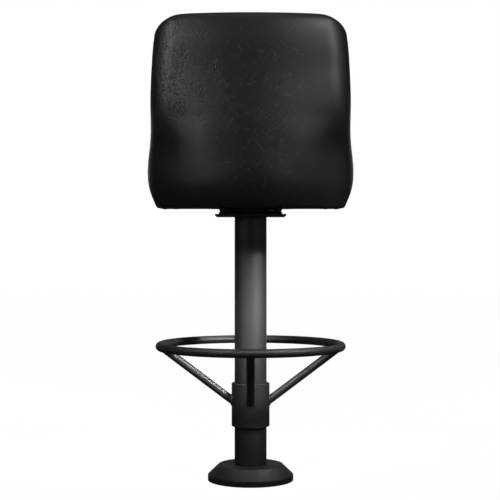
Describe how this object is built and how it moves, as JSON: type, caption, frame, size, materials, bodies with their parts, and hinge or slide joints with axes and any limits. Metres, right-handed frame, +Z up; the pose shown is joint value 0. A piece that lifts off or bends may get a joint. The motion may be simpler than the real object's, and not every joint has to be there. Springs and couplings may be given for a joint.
{
  "type": "bar stool",
  "caption": "Bolt-down bar stool: a padded black leather bucket seat swivels on a round floor-mounted column with a clamped foot ring and a flange cover.",
  "frame": {"origin": "centre of the floor plate's underside, on the column's axis, at floor level", "axes": "+Z up along the column, -Y the way the sitter faces, +X the sitter's left"},
  "size_m": [0.4832, 0.4649, 1.0678],
  "materials": {
    "powder_coat": "satin black powder coat",
    "race_paint": "semi-gloss black stove paint",
    "black_screws": "black oxide steel",
    "zinc_fasteners": "bright zinc plating",
    "cage_brass": "pressed brass strip",
    "ball_steel": "polished bearing steel",
    "plywood": "raw birch plywood",
    "back_leather": "satin black leather, finely creased",
    "rim_leather": "black leather over firm foam",
    "pad_leather": "black leather over foam",
    "cushion_leather": "black leather over foam",
    "dust_cloth": "thin black non-woven cloth"
  },
  "bodies": {
    "pedestal": {"floor_plate": "powder_coat", "foot_weld": "powder_coat", "column_tube": "powder_coat", "column_top_plate": "powder_coat", "swivel_lower_race": "race_paint", "lower_race_rivets": "zinc_fasteners", "king_bolt": "zinc_fasteners", "king_bolt_lower_nut": "zinc_fasteners", "king_bolt_washer": "zinc_fasteners", "king_bolt_upper_nut": "zinc_fasteners"},
    "base_cover": {"flange_cover": "powder_coat"},
    "footring": {"footring_collar": "powder_coat", "collar_set_screws": "black_screws", "footring_hoop": "powder_coat", "footring_strut_1": "powder_coat", "footring_strut_2": "powder_coat", "footring_strut_3": "powder_coat", "footring_strut_4": "powder_coat"},
    "ball_ring": {"ball_cage": "cage_brass", "swivel_balls": "ball_steel"},
    "seat": {"swivel_seat_plate": "powder_coat", "swivel_upper_race": "race_paint", "upper_race_rivets": "zinc_fasteners", "seat_bolts": "black_screws", "seat_tee_nuts": "zinc_fasteners", "seat_board": "plywood", "dust_cloth": "dust_cloth", "bucket_shell": "plywood", "edge_roll": "rim_leather", "outer_back_cover": "back_leather", "inside_back_pad": "pad_leather", "left_bolster": "pad_leather", "right_bolster": "pad_leather", "seat_cushion": "cushion_leather"}
  },
  "joints": [
    {"name": "seat_swivel", "type": "hinge", "parent": "pedestal", "child": "seat", "pos_m": [0, 0, 0.639], "axis": [0, 0, 1], "continuous": true},
    {"name": "ball_ring_roll", "type": "hinge", "parent": "pedestal", "child": "ball_ring", "pos_m": [0, 0, 0.639], "axis": [0, 0, 1], "continuous": true},
    {"name": "footring_height", "type": "slide", "parent": "pedestal", "child": "footring", "axis": [0, 0, 1], "range_m": [-0.03, 0.15]},
    {"name": "base_cover_lift", "type": "slide", "parent": "pedestal", "child": "base_cover", "axis": [0, 0, 1], "range_m": [0, 0.045]}
  ],
  "couplings": [
    {"joint": "ball_ring_roll", "follows": "seat_swivel", "ratio": 0.5}
  ]
}
